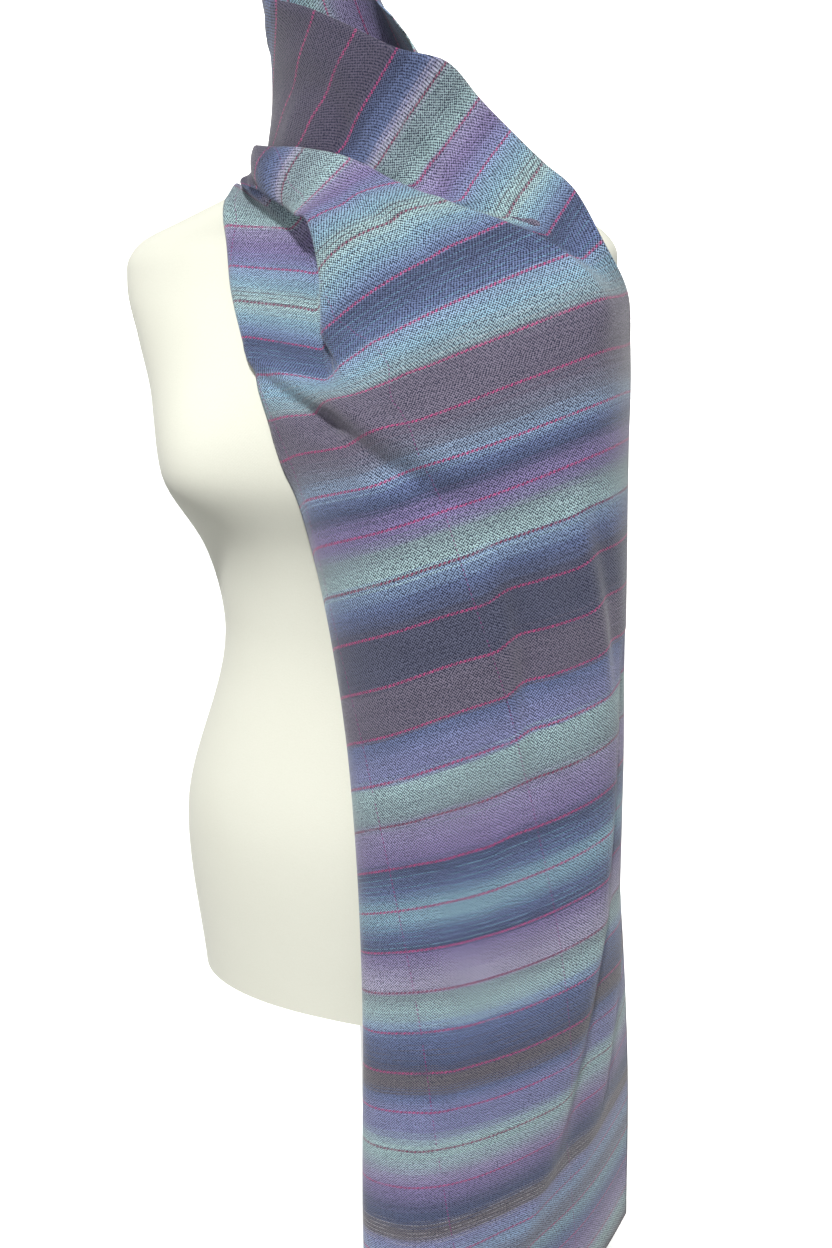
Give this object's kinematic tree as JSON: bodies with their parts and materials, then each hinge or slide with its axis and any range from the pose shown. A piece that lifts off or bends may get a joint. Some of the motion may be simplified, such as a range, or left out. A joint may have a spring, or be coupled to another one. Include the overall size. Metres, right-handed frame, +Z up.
{
  "type": "woven wool scarf on dress form",
  "caption": "Long striped wool scarf wound once round a limbless dress form's neck, one end hanging down the front; the form stands on a pole with a flat round base",
  "frame": {"origin": "centre of the stand base's underside, where it rests on the floor", "axes": "+Z up, -Y is the way the form's front faces, +X is the form's own left, on the viewer's right"},
  "size_m": [0.4342, 0.32, 1.5631],
  "materials": {
    "wool": "striped twill-woven wool with a short nap",
    "jersey": "cream knitted jersey, matt",
    "steel": "brushed",
    "painted_socket": "satin grey paint"
  },
  "bodies": {
    "root": {"inner_end": "wool", "neck_turn": "wool", "chest_spread": "wool", "front_fall": "wool", "form_torso": "jersey", "stand_pole": "steel", "stand_base": "steel", "stand_socket": "painted_socket"}
  },
  "joints": []
}
